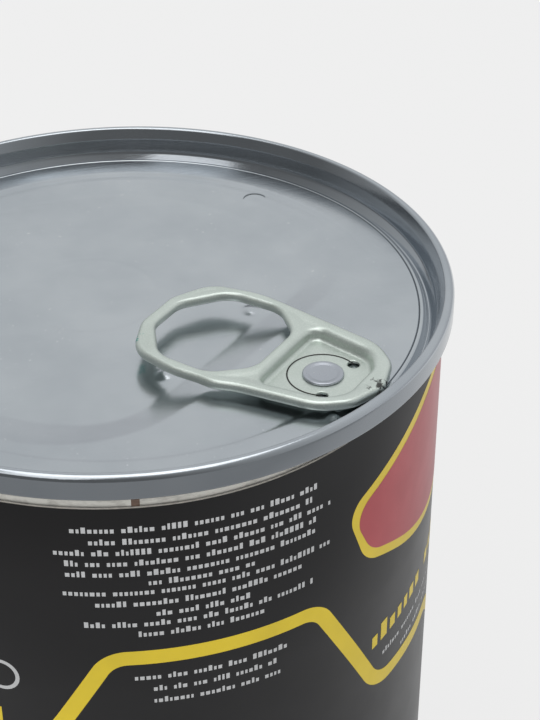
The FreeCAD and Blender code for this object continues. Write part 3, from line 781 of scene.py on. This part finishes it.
@dataclass
class PullTab:
    """Stamped tab: rolled rim round a finger opening, crossbar and a sunk well for the rivet.

    Its own frame has the rivet's axis as Z, the nose towards +X and its seat at zero height.
    """

    seat: float
    rivet_x: float = 27.87
    swing: float = 3.5
    tail: float = 21.55
    nose: float = 7.3
    half_width: float = 9.0
    nose_half: float = 6.75
    bar: float = 1.25
    rim_low: float = 0.55
    rim_high: float = 1.75
    rim_round: float = 0.52
    # depth of the hollow along the ring, its distance from the edge and the run of its side
    dish: Point3 = (0.14, 0.8, 1.1)
    web: float = 0.4
    web_wall: float = 0.42
    well_slope: float = 0.4
    # how widely the web meets the rim, the well's floor its side, and the well's side the ring
    blends: Point3 = (0.15, 0.3, 0.55)
    # how far the rolled rim swells past the blank's outline and into the finger opening
    swell: Point2 = (0.12, 0.2)
    # place along X, length and height of the bulge knocked into the ring's near side
    bulge: Point3 = (-8.4, 1.8, 0.42)
    # x, y and radius of the notch on either side of the web
    vent: Point3 = (1.83, 3.44, 0.66)
    slit_radius: float = 3.9
    slit_width: float = 0.17
    slit_half_angle: float = 62.0
    slit_lift: float = 0.012
    lattice: float = 0.16
    outlines: List[Array] = field(default_factory=list)

    @staticmethod
    def both_sides(half: Sequence[Point2], radii: Sequence[float], steps: int) -> Array:
        """Close and round an outline given by its corners on the +Y side."""
        corners = list(half) + [(x, -y) for x, y in reversed(half)]
        return round_outline(corners, list(radii) + list(reversed(radii)), True, steps)

    def draw_outlines(self) -> None:
        """Draw the tab's outline, finger opening and well floor."""
        inside = self.half_width - self.bar
        outer = [(-self.tail, self.half_width - 6.1), (2.3 - self.tail, self.half_width - 1.25),
                 (8.45 - self.tail, self.half_width), (3.1, self.nose_half),
                 (self.nose - 1.3, self.nose_half - 2.45), (self.nose, 0.5)]
        opening = [(self.bar - self.tail, inside - 5.2), (5.06 - self.tail, inside - 0.32),
                   (-9.9, inside - 0.1), (-6.0, inside - 3.6)]
        well = [(-4.5, 5.85), (2.95, 4.7), (4.45, 2.6)]
        self.outlines = [
            self.both_sides(outer, (3.5, 4.0, 12.0, 6.0, 3.5, 1.2), 10),
            self.both_sides(opening, (3.0, 3.8, 3.8, 3.2), 10),
            self.both_sides(well, (1.1, 2.4, 2.4), 8),
        ]

    def flat_distances(self, x: Array, y: Array) -> List[Array]:
        """Measure from the three outlines in the tab's plane.

        Args:
            x: places along X.
            y: places along Y.

        Returns:
            Distances to the blank's outline, the finger opening and the well.
        """
        distances = [outline_distance(outline, x, y) for outline in self.outlines]
        place, length, height = self.bulge
        knocked = height * np.exp(-((x - place) / length) ** 2) * smooth_step(-y / 3.0)
        distances[0] = distances[0] - knocked
        return distances

    def solid(self, x: Array, y: Array, z: Array, flat: Sequence[Array]) -> Array:
        """Field that is negative inside the tab's metal.

        Args:
            x: places along X.
            y: places along Y.
            z: places along Z.
            flat: distances to the outlines, from flat_distances.

        Returns:
            The field.
        """
        to_outer, to_opening, to_well = flat
        outward, inward = self.swell
        ring = np.maximum(to_outer - outward, -to_opening - inward)
        hollow, inset, run = self.dish
        top = self.rim_high - hollow * smooth_step((-ring - inset) / run)
        middle, half = 0.5 * (top + self.rim_low), 0.5 * (top - self.rim_low)
        side = ring + self.rim_round
        rise = np.abs(z - middle) - half + self.rim_round
        rim = (np.minimum(np.maximum(side, rise), 0.0)
               + np.hypot(np.maximum(side, 0.0), np.maximum(rise, 0.0)) - self.rim_round)
        block = 0.25 * (self.rim_low + self.rim_high)
        web = np.maximum(to_well - self.web_wall, np.abs(z - block) - block)
        web_blend, floor_blend, brim_blend = self.blends
        metal = soft_min(rim, web, web_blend)
        lean = self.well_slope * (z - self.web) / (self.rim_high - self.web)
        well = soft_max(to_well - lean, self.web - z, floor_blend)
        metal = soft_max(metal, -well, brim_blend)
        vent_x, vent_y, vent_radius = self.vent
        vents = np.hypot(x - vent_x, np.abs(y) - vent_y) - vent_radius
        return np.maximum(metal, -vents)

    def settle(self, points: Array, rounds: int) -> Array:
        """Move points onto the tab's true surface.

        Args:
            points: places near the surface.
            rounds: how often each is corrected.

        Returns:
            The moved points.
        """
        nudge, least_slope, longest_move = 0.02, 0.25, 0.08
        for _ in range(rounds):
            x, y, z = points.T
            here_flat = self.flat_distances(x, y)
            here = self.solid(x, y, z, here_flat)
            ahead = self.solid(x + nudge, y, z, self.flat_distances(x + nudge, y))
            aside = self.solid(x, y + nudge, z, self.flat_distances(x, y + nudge))
            above = self.solid(x, y, z + nudge, here_flat)
            slope = np.stack([ahead - here, aside - here, above - here], axis=1) / nudge
            reach = here / np.maximum((slope * slope).sum(axis=1), least_slope)
            points = points - slope * np.clip(reach, -longest_move, longest_move)[:, None]
        return points

    def placed(self, points: Array) -> Array:
        """Turn and move points from the tab's frame to the can's.

        Args:
            points: places in the tab's frame.

        Returns:
            Places in the can's frame.
        """
        angle = math.radians(self.swing)
        x = points[:, 0] * math.cos(angle) - points[:, 1] * math.sin(angle) + self.rivet_x
        y = points[:, 0] * math.sin(angle) + points[:, 1] * math.cos(angle)
        return np.stack([x, y, points[:, 2] + self.seat], axis=1)

    def build(self, finish: Material) -> Piece:
        """Make the tab.

        Args:
            finish: its material.

        Returns:
            The piece.
        """
        self.draw_outlines()
        # The lattice starts and ends clear of the metal on every side.
        low = np.array([-self.tail, -self.half_width, 0.0]) - (0.6, 0.6, 0.35)
        high = np.array([self.nose, self.half_width, self.rim_high]) + (0.6, 0.6, 0.4)
        axes = [np.arange(a, b, self.lattice) for a, b in zip(low, high)]
        x, y = np.meshgrid(axes[0], axes[1], indexing="ij")
        flat = [d[:, :, None] for d in self.flat_distances(x, y)]
        values = self.solid(x[:, :, None], y[:, :, None], axes[2][None, None, :], flat)
        points, quads = net_surface(values, low, self.lattice)
        points = self.settle(points, 2)
        return new_piece("pull_tab_shell", self.placed(points), quads, finish)

    def build_slit_shade(self, finish: Material) -> None:
        """Make a dark strip of painted shade along the slit that frees the rivet's tongue.

        Args:
            finish: its material.
        """
        start = math.radians(self.slit_half_angle)
        angles = np.linspace(start, 2.0 * math.pi - start, 90)
        rows = []
        for side in (-0.5, 0.5):
            radius = self.slit_radius + side * self.slit_width
            rows.append(np.stack([radius * np.cos(angles), radius * np.sin(angles),
                                  np.full(len(angles), self.web + self.slit_lift)], axis=1))
        faces = turned_over(grid_faces(2, len(angles), False))
        new_piece("tab_slit_painted_shade", self.placed(np.concatenate(rows)), faces, finish)


# ---- the label


@dataclass
class PaperLabel:
    """Wrap-around label, set slightly askew, with flat printed shapes lying on it."""

    low: float
    high: float
    radius: float = 37.02
    thickness: float = 0.12
    columns: int = 480
    # azimuth of the outer end and length of the lap, and the degrees in which it lifts off
    lap_azimuth: float = 205.0
    lap_length: float = 7.0
    lap_ramp: float = 2.0
    # how much higher the upper edge gets, and the azimuths between which it climbs and falls
    rise: float = 1.65
    climb: Point2 = (-44.1, 20.9)
    fall: Point2 = (70.0, 130.0)
    # how far the cut edge stands up towards the wall
    frayed: float = 0.1
    ink_lift: float = 0.015
    # small print: blocks in a word, and in heights of a low block their widths, how tall the tall
    # ones are, and the gaps after a block and after a word; last, the share of tall ones
    word_blocks: Tuple[int, int] = (3, 9)
    block_widths: Point2 = (0.5, 0.95)
    tall_block: float = 1.5
    block_gaps: Point2 = (0.4, 1.1)
    tall_share: float = 0.22

    @property
    def per_degree(self) -> float:
        """Millimetres along the label's face in one degree."""
        return math.radians(1.0) * self.radius

    def top_edge(self, azimuth: Array) -> Array:
        """Find the label's upper edge.

        Args:
            azimuth: degrees about Z.

        Returns:
            Its height at each azimuth.
        """
        start, end = self.climb
        turned = (azimuth - start + 180.0) % 360.0 - 180.0
        up = smooth_step(turned / (end - start))
        down = smooth_step((turned - (self.fall[0] - start)) / (self.fall[1] - self.fall[0]))
        return self.high + self.rise * up * (1.0 - down)

    def on_wall(self, azimuth: Array, height: Array, lift: float) -> Array:
        """Places on the label's face, whose outer end stands off over the end it is glued to.

        Args:
            azimuth: degrees about Z.
            height: millimetres from the can's foot.
            lift: distance above the label's face.

        Returns:
            Corners, one row each.
        """
        over = (self.lap_azimuth - 360.0 + self.lap_ramp - azimuth) / self.lap_ramp
        radius = self.radius + lift + (self.thickness + 0.01) * smooth_step(over)
        angle = np.radians(azimuth)
        return np.stack([radius * np.cos(angle), radius * np.sin(angle), height], axis=-1)

    def build(self, finish: Material, cut: Material) -> Piece:
        """Make the sheet of the label, with its lap at the back.

        Args:
            finish: its material.
            cut: material of the paper's cut upper edge.

        Returns:
            The piece.
        """
        lap = self.lap_length / self.per_degree
        azimuth = np.linspace(self.lap_azimuth - 360.0 - lap, self.lap_azimuth, self.columns)
        tall = self.top_edge(azimuth) - self.low
        # Inner foot, five lines up the face, and the top edge turned in to the wall.
        rows = [self.on_wall(azimuth, self.low + 0.0 * tall, -self.thickness)]
        rows += [self.on_wall(azimuth, self.low + tall * share, 0.0)
                 for share in (0.0, 0.25, 0.5, 0.75, 1.0)]
        rows.append(self.on_wall(azimuth, self.low + tall + self.frayed, -self.thickness))
        sheet = new_piece("label_sheet", np.concatenate(rows),
                          grid_faces(len(rows), self.columns, False), finish)
        sheet.data.materials.append(cut)
        cut_row = len(rows) - 2
        for index, polygon in enumerate(sheet.data.polygons):
            row = index // (self.columns - 1)
            polygon.use_smooth = 0 < row < cut_row
            polygon.material_index = int(row == cut_row)
        return sheet

    def stripe(self, name: str, corners: Sequence[Point2], radii: Sequence[float], width: float,
               finish: Material) -> None:
        """Print a stripe of even width with rounded bends.

        Args:
            name: the piece's name.
            corners: azimuth in degrees and height of each bend.
            radii: rounding of each bend in millimetres.
            width: the stripe's width.
            finish: its ink.
        """
        line = [(a * self.per_degree, h) for a, h in corners]
        path = subdivided(round_outline(line, radii, closed=False, steps=12), closed=False)
        along = np.gradient(path, axis=0)
        along /= np.linalg.norm(along, axis=1)[:, None]
        across = np.stack([-along[:, 1], along[:, 0]], axis=1)
        rows = []
        for side in (-0.5, 0.5):
            edge = path + across * width * side
            rows.append(self.on_wall(edge[:, 0] / self.per_degree, edge[:, 1], self.ink_lift))
        new_piece(name, np.concatenate(rows), turned_over(grid_faces(2, len(path), False)),
                  finish)

    def ring(self, name: str, centre: Point2, radius: float, hole: float,
             finish: Material) -> None:
        """Print a ring.

        Args:
            name: the piece's name.
            centre: azimuth in degrees and height of its middle.
            radius: its outer radius in millimetres.
            hole: share of the radius left open in its middle.
            finish: its ink.
        """
        turns = np.arange(128) * 2.0 * math.pi / 128
        share, turn = np.meshgrid(np.linspace(hole, 1.0, 3), turns, indexing="ij")
        across, up = radius * share * np.cos(turn), radius * share * np.sin(turn)
        corners = self.on_wall(centre[0] + across / self.per_degree, centre[1] + up, self.ink_lift)
        new_piece(name, corners.reshape(-1, 3),
                  turned_over(grid_faces(len(share), len(turns), True)), finish)

    def patch(self, name: str, corners: Sequence[Point2], radii: Sequence[float], lift: float,
              finish: Material) -> None:
        """Print a filled shape with rounded corners.

        Args:
            name: the piece's name.
            corners: azimuth in degrees and height of each corner, clockwise as seen.
            radii: rounding of each corner in millimetres.
            lift: distance above the label's face.
            finish: its ink.
        """
        line = [(a * self.per_degree, h) for a, h in corners]
        edge = subdivided(round_outline(line, radii, closed=True, steps=14), closed=True)
        middle = edge.mean(axis=0)
        shares = np.linspace(0.02, 1.0, 24)
        places = middle + (edge - middle) * shares[:, None, None]
        vertices = self.on_wall(places[..., 0] / self.per_degree, places[..., 1], lift)
        faces = grid_faces(len(shares), len(edge), True)
        faces.append(list(range(len(edge)))[::-1])
        new_piece(name, vertices.reshape(-1, 3), faces, finish)

    def small_print(self, name: str, rows: Sequence[Point4],
                    height: float, finish: Material, seed: int) -> None:
        """Print rows of small plain blocks, grouped as words are, with no lettering.

        Args:
            name: the piece's name.
            rows: first and last azimuth, height at the first and at the last, of each row.
            height: a low block's height.
            finish: their ink.
            seed: start of the sequence of lengths.
        """
        random = np.random.default_rng(seed)
        vertices: List[Array] = []
        faces: List[List[int]] = []
        for first, last, start_height, end_height in rows:
            at, end = first * self.per_degree, last * self.per_degree
            rise = (end_height - start_height) / (end - at)
            origin = at
            while at < end - height:
                for _ in range(int(random.integers(*self.word_blocks))):
                    width = height * random.uniform(*self.block_widths)
                    tall = height * (self.tall_block if random.random() < self.tall_share else 1.0)
                    if at + width > end:
                        break
                    across = np.array([at, at + width])
                    base = start_height + rise * (across - origin) - height * 0.5
                    faces += grid_faces(2, 2, False, 2 * len(vertices))
                    for level in (base, base + tall):
                        vertices.append(self.on_wall(across / self.per_degree, level,
                                                     self.ink_lift))
                    at += width + height * self.block_gaps[0]
                at += height * self.block_gaps[1]
        new_piece(name, np.concatenate(vertices), faces, finish)


# ---- studio


@dataclass(frozen=True)
class LampPlan:
    """Where a square lamp hangs and how bright its face is; lengths in metres."""

    # degrees from the camera's own heading, and distance from the can's axis
    turn: float
    reach: float
    height: float
    size: float
    radiance: float
    # whether shiny surfaces mirror it
    mirrored: bool = True


class Lamp(Enum):
    """The studio's lamps."""

    OVERHEAD = LampPlan(0.0, 0.05, 1.0, 0.65, 1.4)
    FILL = LampPlan(160.0, 1.2, 0.7, 1.0, 0.9, mirrored=False)
    KEY = LampPlan(150.0, 0.65, 1.0, 0.5, 1.1)


@dataclass
class Studio:
    """Plain floor, soft lamps and the camera."""

    view_azimuth: float = 124.77
    view_pitch: float = 33.823
    camera_place: Point3 = (113.59, -133.47, 215.09)
    lens_mm: float = 89.38
    sensor_mm: float = 36.0
    # half the floor's side, in metres
    floor_reach: float = 3.0
    floor_colour: str = "EFEFEF"
    shade_colour: str = "7C7E80"
    floor_plainness: float = 0.85
    # metres past the can's axis between which the floor comes out of the shade
    shade_span: Point2 = (-0.12, 0.2)
    # how far towards the far side the room starts and ends to brighten, and its levels there
    room_reach: Point2 = (-0.7, 0.6)
    room_levels: Point2 = (0.16, 0.78)
    # turn of the room's bright side, away from the camera's own heading, in degrees
    room_turn: float = -28.0
    # upward directions between which the walls give way to the ceiling
    ceiling_span: Point2 = (0.84, 0.99)
    # far and upward directions between which the wall behind the can falls into shade
    behind_far: Point2 = (0.1, 0.7)
    behind_up: Point2 = (0.12, 0.46)
    wall_tint: Colour = (0.97, 0.99, 1.0, 1.0)
    ceiling_tint: Colour = (0.8, 0.81, 0.82, 1.0)
    behind_tint: Colour = (0.6, 0.61, 0.63, 1.0)
    even_tint: Colour = (0.78, 0.78, 0.78, 1.0)

    def heading(self, turn: float = 0.0) -> Point3:
        """Unit direction along the floor, turned from the camera's own by turn degrees."""
        angle = math.radians(self.view_azimuth + turn)
        return math.cos(angle), math.sin(angle), 0.0

    @staticmethod
    def put(data: bpy.types.ID, place: Vector, aim: Vector) -> Piece:
        """Add a lamp or a camera to the scene.

        Args:
            data: its settings.
            place: where it stands, in metres.
            aim: the direction it looks in.

        Returns:
            The new object.
        """
        placed = bpy.data.objects.new(data.name, data)
        bpy.context.scene.collection.objects.link(placed)
        turn = aim.to_track_quat("-Z", "Y").to_matrix().to_4x4()
        placed.matrix_world = Matrix.Translation(place) @ turn
        return placed

    def add_camera(self) -> None:
        """Place the camera and make it the scene's."""
        data = bpy.data.cameras.new("camera")
        data.sensor_fit = "VERTICAL"
        data.sensor_height = self.sensor_mm
        data.lens = self.lens_mm
        data.clip_start = 0.01
        data.clip_end = 20.0
        pitch = math.radians(self.view_pitch)
        aim = Vector(self.heading()) * math.cos(pitch) - Vector((0.0, 0.0, math.sin(pitch)))
        bpy.context.scene.camera = self.put(data, Vector(self.camera_place) * MM, aim)

    def add_lamp(self, lamp: Lamp) -> None:
        """Hang one soft lamp that faces the can.

        Args:
            lamp: which lamp it is.
        """
        plan = lamp.value
        data = bpy.data.lights.new("lamp_" + lamp.name.lower(), "AREA")
        data.shape = "RECTANGLE"
        data.size = data.size_y = plan.size
        data.energy = plan.radiance * math.pi * plan.size * plan.size
        place = Vector(self.heading(plan.turn)) * plan.reach + Vector((0.0, 0.0, plan.height))
        self.put(data, place, Vector((0.0, 0.0, 0.1)) - place).visible_glossy = plan.mirrored

    def add_floor(self) -> None:
        """Lay the pale floor, which also shows pale to rays that look at it directly."""
        reach = self.floor_reach
        mesh = bpy.data.meshes.new("floor")
        mesh.from_pydata([(-reach, -reach, 0.0), (reach, -reach, 0.0), (reach, reach, 0.0),
                          (-reach, reach, 0.0)], [], [[0, 1, 2, 3]])
        floor = bpy.data.objects.new("floor", mesh)
        bpy.context.scene.collection.objects.link(floor)
        material = bpy.data.materials.new("floor_paper")
        material.use_nodes = True
        tree = material.node_tree
        tree.nodes.clear()
        pale = srgb(self.floor_colour)
        lit = add_node(tree, "ShaderNodeBsdfDiffuse", {"Color": pale})
        path = add_node(tree, "ShaderNodeLightPath").outputs
        # The floor on the camera's side of the can is in shade, which only metal mirrors.
        place = add_node(tree, "ShaderNodeTexCoord").outputs["Object"]
        far = add_node(tree, "ShaderNodeVectorMath", (place, self.heading()),
                       operation="DOT_PRODUCT").outputs["Value"]
        mirrored = blend_where(tree, far, self.shade_span, srgb(self.shade_colour), pale)
        seen = blend_where(tree, path["Is Camera Ray"], (0.0, 1.0), mirrored, pale)
        plain = add_node(tree, "ShaderNodeEmission", {"Color": seen})
        direct = path["Is Camera Ray"]
        for kind in ("Is Glossy Ray", "Is Transmission Ray"):
            direct = add_node(tree, "ShaderNodeMath", (direct, path[kind]),
                              operation="MAXIMUM").outputs["Value"]
        share = add_node(tree, "ShaderNodeMath", (direct, self.floor_plainness),
                         operation="MULTIPLY").outputs["Value"]
        mixed = add_node(tree, "ShaderNodeMixShader", (share, lit.outputs["BSDF"],
                                                       plain.outputs["Emission"]))
        add_node(tree, "ShaderNodeOutputMaterial", {"Surface": mixed.outputs["Shader"]})
        mesh.materials.append(material)

    def add_world(self) -> None:
        """Surround the can with a pale room that shiny metal sees dimmer on the camera's side."""
        world = bpy.data.worlds.new("room")
        bpy.context.scene.world = world
        world.use_nodes = True
        tree = world.node_tree
        tree.nodes.clear()
        direction = add_node(tree, "ShaderNodeTexCoord").outputs["Generated"]
        far = add_node(tree, "ShaderNodeVectorMath", (direction, self.heading(self.room_turn)),
                       operation="DOT_PRODUCT").outputs["Value"]
        up = add_node(tree, "ShaderNodeSeparateXYZ", {"Vector": direction}).outputs["Z"]
        room = blend_where(tree, far, self.room_reach, (0.0, 0.0, 0.0, 1.0), self.wall_tint,
                           self.room_levels)
        room = blend_where(tree, up, self.ceiling_span, room, self.ceiling_tint)
        # The wall behind the can falls into shade towards the floor.
        farther = add_node(tree, "ShaderNodeMapRange", (far, *self.behind_far, 0.0, 1.0))
        lower = add_node(tree, "ShaderNodeMapRange", (up, *self.behind_up, 1.0, 0.0))
        behind = add_node(tree, "ShaderNodeMath", (farther.outputs["Result"],
                                                   lower.outputs["Result"]),
                          operation="MULTIPLY").outputs["Value"]
        path = add_node(tree, "ShaderNodeLightPath").outputs
        for share, tint in ((behind, self.behind_tint), (path["Is Diffuse Ray"], self.even_tint),
                            (path["Is Camera Ray"], srgb(self.floor_colour))):
            room = blend_where(tree, share, (0.0, 1.0), room, tint)
        background = add_node(tree, "ShaderNodeBackground", {"Color": room})
        add_node(tree, "ShaderNodeOutputWorld", {"Surface": background.outputs["Background"]})

    def build(self) -> None:
        """Set up the whole studio."""
        self.add_camera()
        self.add_floor()
        self.add_world()
        for lamp in Lamp:
            self.add_lamp(lamp)
        bpy.context.scene.view_settings.view_transform = "Standard"


# ---- the whole can


@dataclass
class FoodCan:
    """The can, built from its sub-assemblies in order."""

    top: float
    seat_depth: float = 3.4
    # how far the label's upper edge starts below the nominal one
    label_drop: float = 0.15
    # azimuth of the print's own zero
    print_turn: float = 40.4
    # the side weld's scorched line, which stops short of the wall's ends
    weld_azimuth: float = -49.0
    weld_radius: float = 36.82
    weld_width: float = 0.85
    weld_margin: float = 0.05
    weld_columns: int = 5
    # width of the badge's border and the middle it narrows to, as azimuth and depth
    badge_border: float = 0.95
    badge_middle: Point2 = (-17.0, 15.0)

    def dress_walls(self) -> None:
        """Give the welded wall and the bottom end their metal."""
        bare = BareTinplate("bare_tinplate", "EFEDE5").build()
        lacquer = LacqueredTinplate("bottom_tinplate", "A3A8AC", dusty=False).build()
        for node, material in (("can_body", bare), ("bottom_end", lacquer)):
            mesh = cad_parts[node].data
            mesh.materials.clear()
            mesh.materials.append(material)

    def scorch_weld(self) -> None:
        """Lay the burnt line of the side weld on the wall, under the label."""
        half = math.degrees(0.5 * self.weld_width / self.weld_radius)
        turns = np.radians(self.weld_azimuth + np.linspace(-half, half, self.weld_columns))
        lowest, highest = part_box("can_body")
        margin = self.weld_margin
        rows = [np.stack([self.weld_radius * np.cos(turns), self.weld_radius * np.sin(turns),
                          np.full(len(turns), level)], axis=1)
                for level in (lowest.z / MM + margin, highest.z / MM - margin)]
        new_piece("weld_line", np.concatenate(rows), grid_faces(2, len(turns), False),
                  PlainMatt("burnt_weld", "6F5A4E").build())

    def dress_top(self) -> None:
        """Build the top end, its rivet and the tab."""
        # The panel's finish paints shade as a thin dark ring along the score's groove.
        panel_metal = LacqueredTinplate("panel_tinplate", "C4C9CD", 0.2, shade_line_radius=34.3).build()
        rim_metal = LacqueredTinplate("rim_tinplate", "BBC0C5", 0.14, dusty=False).build()
        rivet_metal = LacqueredTinplate("rivet_tinplate", "B9BDC4", 0.3, grain_length=2.0).build()
        rim = SeamedRim(self.top).build(rim_metal)
        panel = OpeningPanel(self.top)
        panel.build(panel_metal)
        # A dark arc of painted shade on the far side of the lone dimple.
        panel.build_shade_arc(PlainMatt("dimple_painted_shade", "70777C").build())
        Rivet(self.top - self.seat_depth).build(rivet_metal)
        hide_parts("easy_open_end")
        tab = PullTab(self.top - self.seat_depth)
        shell = tab.build(TabLacquer("tab_lacquer", "CFD8D1").build())
        # A dark strip painted along the slit stands in for the shade inside it.
        tab.build_slit_shade(PlainMatt("slit_shade", "2B2B29").build())
        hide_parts("pull_tab")

    def dress_label(self) -> None:
        """Build the label and its print, whose places are azimuths and depths below the crest."""
        lowest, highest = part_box("paper_label")
        label = PaperLabel(lowest.z / MM, highest.z / MM - self.label_drop)
        sheet = label.build(PrintedPaper("label_black", "191718").build(),
                            PlainMatt("cut_paper", "B4B0A8").build())
        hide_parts("paper_label")
        yellow = PrintedPaper("label_yellow", "DDC218", 0.45).build()
        red = PrintedPaper("label_red", "B03E46", 0.45).build()
        grey = PrintedPaper("label_grey", "BDBEBF", 0.5).build()

        def at(places: Sequence[Point2]) -> List[Point2]:
            """Turn places on the print to azimuths in the can's frame and heights."""
            return [(azimuth + self.print_turn, self.top - depth) for azimuth, depth in places]

        def words(name: str, rows: Sequence[Point4], height: float,
                  ink: Material, seed: int) -> None:
            """Print rows of small blocks, each from a first place to a last one."""
            turn, top = self.print_turn, self.top
            label.small_print(name, [(a + turn, b + turn, top - c, top - d)
                                     for a, b, c, d in rows], height, ink, seed)

        label.stripe("label_stripe",
                     at([(-205.8, 60), (-128, 60), (-103, 33.4), (-95, 24.5), (-58.5, 24.4),
                         (-50, 34), (-43, 42), (-18, 42), (10, 60), (153.7, 60)]),
                     (0.0, 6.0, 20.0, 3.5, 3.5, 20.0, 5.0, 6.0, 8.0, 0.0), 1.9, yellow)
        badge = [(-52.5, 13.4), (-24, 4.6), (5, 2.0), (18, 12.0), (8, 23.0), (-26, 26.6),
                 (-47.5, 21.6)]
        rounds = (3.0, 30.0, 12.0, 8.0, 12.0, 30.0, 5.0)
        label.patch("badge_border", at(badge), rounds, label.ink_lift, yellow)
        sides = (self.badge_border / label.per_degree, self.badge_border)
        inner = [tuple(p - math.copysign(s, p - m)
                       for p, s, m in zip(place, sides, self.badge_middle)) for place in badge]
        label.patch("badge_field", at(inner), rounds, 2.0 * label.ink_lift, red)
        rows = [(-99.8, -57.8, 7.4), (-97, -60, 8.9), (-102.6, -55.6, 10.3), (-101, -59, 11.7),
                (-101, -59, 13.1), (-88, -70, 14.4), (-101.6, -56, 15.6), (-96.6, -61, 17.1),
                (-87, -71, 18.6), (-98.6, -59, 19.9), (-90, -68, 21.3), (-91, -63, 27.4),
                (-88, -66, 29.1), (-88, -65, 30.8)]
        words("label_rows", [(a, b, d, d) for a, b, d in rows], 0.5, grey, 7)
        words("label_heading", [(-44.5, -12, 35.2, 32.6)], 1.7, yellow, 3)
        words("label_small", [(-41, -12, 38.2, 36.6), (-34, -14, 40.2, 38.9)], 0.5, grey, 5)
        label.ring("label_ring", at([(-113.5, 28.3)])[0], 2.1, 0.78, grey)
        words("label_edge", [(-121, -109.5, 34.9, 34.6)], 1.5, yellow, 11)

    def build(self) -> None:
        """Build everything in order."""
        self.dress_walls()
        self.scorch_weld()
        self.dress_top()
        self.dress_label()


def main() -> None:
    """Build the can and the studio."""
    logging.basicConfig(level=logging.INFO, format="%(name)s: %(message)s")
    _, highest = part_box("easy_open_end")
    FoodCan(highest.z / MM).build()
    Studio().build()


if __name__ == "__main__":
    main()
